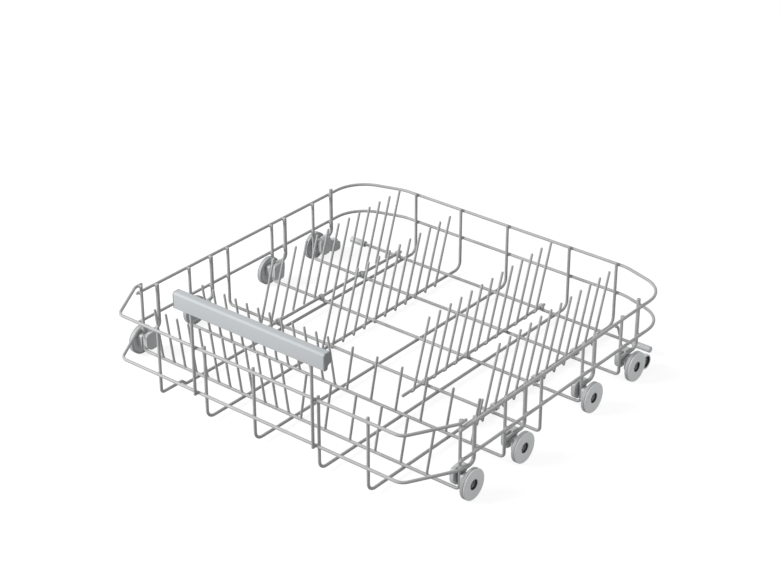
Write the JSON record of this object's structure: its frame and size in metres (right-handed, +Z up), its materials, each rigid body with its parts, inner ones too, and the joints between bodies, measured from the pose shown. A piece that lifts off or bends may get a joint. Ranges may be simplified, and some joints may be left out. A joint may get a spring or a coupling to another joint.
{
  "type": "dishwasher lower basket",
  "caption": "Lower basket of a dishwasher: coated bent wire on side wheels, with folding plate rows, short rows of tines and a moulded pull handle on two uprights.",
  "frame": {"origin": "on the ground under the middle of the basket, which stands on its wheels", "axes": "+X to the right of someone facing the handle, +Y back into the machine, +Z up"},
  "size_m": [0.528, 0.5152, 0.1705],
  "materials": {
    "coated_wire": "satin nylon coating",
    "coated_tines": "satin nylon coating",
    "clip_plastic": "matte",
    "bracket_plastic": "matte",
    "wheel_plastic": "matte",
    "handle_plastic": "fine matte",
    "cap_plastic": "matte"
  },
  "bodies": {
    "basket": {"long_hoop_1": "coated_wire", "long_hoop_2": "coated_wire", "long_hoop_3": "coated_wire", "long_hoop_4": "coated_wire", "long_hoop_5": "coated_wire", "cross_hoop_1": "coated_wire", "cross_hoop_2": "coated_wire", "cross_hoop_3": "coated_wire", "cross_hoop_4": "coated_wire", "cross_hoop_5": "coated_wire", "rear_cross_wire": "coated_wire", "upper_front_rail": "coated_wire", "lower_front_rail": "coated_wire", "upper_rim": "coated_wire", "lower_rim": "coated_wire", "wheel_carrier_right_1": "coated_wire", "wheel_carrier_left_1": "coated_wire", "wheel_carrier_right_2": "coated_wire", "wheel_carrier_left_2": "coated_wire", "wheel_carrier_right_3": "coated_wire", "wheel_carrier_left_3": "coated_wire", "wheel_carrier_right_4": "coated_wire", "wheel_carrier_left_4": "coated_wire", "handle_upright_left": "coated_wire", "handle_upright_right": "coated_wire", "front_tines": "coated_tines", "second_tines": "coated_tines", "row_b_tines": "coated_tines", "row_a_clips": "clip_plastic", "row_c_clips": "clip_plastic", "row_d_clips": "clip_plastic", "rear_sleeve_right": "clip_plastic", "rear_sleeve_left": "clip_plastic", "wheel_bracket_right_1": "bracket_plastic", "wheel_bracket_left_1": "bracket_plastic", "wheel_bracket_right_2": "bracket_plastic", "wheel_bracket_left_2": "bracket_plastic", "wheel_bracket_right_3": "bracket_plastic", "wheel_bracket_left_3": "bracket_plastic", "wheel_bracket_right_4": "bracket_plastic", "wheel_bracket_left_4": "bracket_plastic", "handle_bar": "handle_plastic", "handle_caps": "cap_plastic"},
    "row_a": {"row_a_wire": "coated_wire", "row_a_tines": "coated_tines"},
    "row_c": {"row_c_wire": "coated_wire", "row_c_tines": "coated_tines"},
    "row_d": {"row_d_wire": "coated_wire", "row_d_tines": "coated_tines", "row_d_lever": "coated_tines"},
    "wheel_right_1": {"wheel_right_1": "wheel_plastic"},
    "wheel_left_1": {"wheel_left_1": "wheel_plastic"},
    "wheel_right_2": {"wheel_right_2": "wheel_plastic"},
    "wheel_left_2": {"wheel_left_2": "wheel_plastic"},
    "wheel_right_3": {"wheel_right_3": "wheel_plastic"},
    "wheel_left_3": {"wheel_left_3": "wheel_plastic"},
    "wheel_right_4": {"wheel_right_4": "wheel_plastic"},
    "wheel_left_4": {"wheel_left_4": "wheel_plastic"},
    "rear_roller_right": {"rear_roller_right": "wheel_plastic"},
    "rear_roller_left": {"rear_roller_left": "wheel_plastic"}
  },
  "joints": [
    {"name": "wheel_right_1_spin", "type": "hinge", "parent": "basket", "child": "wheel_right_1", "pos_m": [0.26075, -0.1748, 0.0194], "axis": [1, 0, 0], "continuous": true},
    {"name": "wheel_left_1_spin", "type": "hinge", "parent": "basket", "child": "wheel_left_1", "pos_m": [-0.26075, -0.1748, 0.0194], "axis": [1, 0, 0], "continuous": true},
    {"name": "wheel_right_2_spin", "type": "hinge", "parent": "basket", "child": "wheel_right_2", "pos_m": [0.26075, -0.0774, 0.0194], "axis": [1, 0, 0], "continuous": true},
    {"name": "wheel_left_2_spin", "type": "hinge", "parent": "basket", "child": "wheel_left_2", "pos_m": [-0.26075, -0.0774, 0.0194], "axis": [1, 0, 0], "continuous": true},
    {"name": "wheel_right_3_spin", "type": "hinge", "parent": "basket", "child": "wheel_right_3", "pos_m": [0.26075, 0.0645, 0.0194], "axis": [1, 0, 0], "continuous": true},
    {"name": "wheel_left_3_spin", "type": "hinge", "parent": "basket", "child": "wheel_left_3", "pos_m": [-0.26075, 0.0645, 0.0194], "axis": [1, 0, 0], "continuous": true},
    {"name": "wheel_right_4_spin", "type": "hinge", "parent": "basket", "child": "wheel_right_4", "pos_m": [0.26075, 0.159, 0.0194], "axis": [1, 0, 0], "continuous": true},
    {"name": "wheel_left_4_spin", "type": "hinge", "parent": "basket", "child": "wheel_left_4", "pos_m": [-0.26075, 0.159, 0.0194], "axis": [1, 0, 0], "continuous": true},
    {"name": "rear_roller_right_spin", "type": "hinge", "parent": "basket", "child": "rear_roller_right", "pos_m": [0.255, 0.1909, 0.0098], "axis": [1, 0, 0], "continuous": true},
    {"name": "rear_roller_left_spin", "type": "hinge", "parent": "basket", "child": "rear_roller_left", "pos_m": [-0.255, 0.1909, 0.0098], "axis": [1, 0, 0], "continuous": true},
    {"name": "row_a_fold", "type": "hinge", "parent": "basket", "child": "row_a", "pos_m": [-0.163, 0, 0.0141], "axis": [0, 1, 0], "range_deg": [0, 80]},
    {"name": "row_c_fold", "type": "hinge", "parent": "basket", "child": "row_c", "pos_m": [0.0769, 0, 0.0141], "axis": [0, 1, 0], "range_deg": [-80, 0]},
    {"name": "row_d_fold", "type": "hinge", "parent": "basket", "child": "row_d", "pos_m": [0.17205, 0, 0.006], "axis": [0, 1, 0], "range_deg": [-76, 0]}
  ]
}
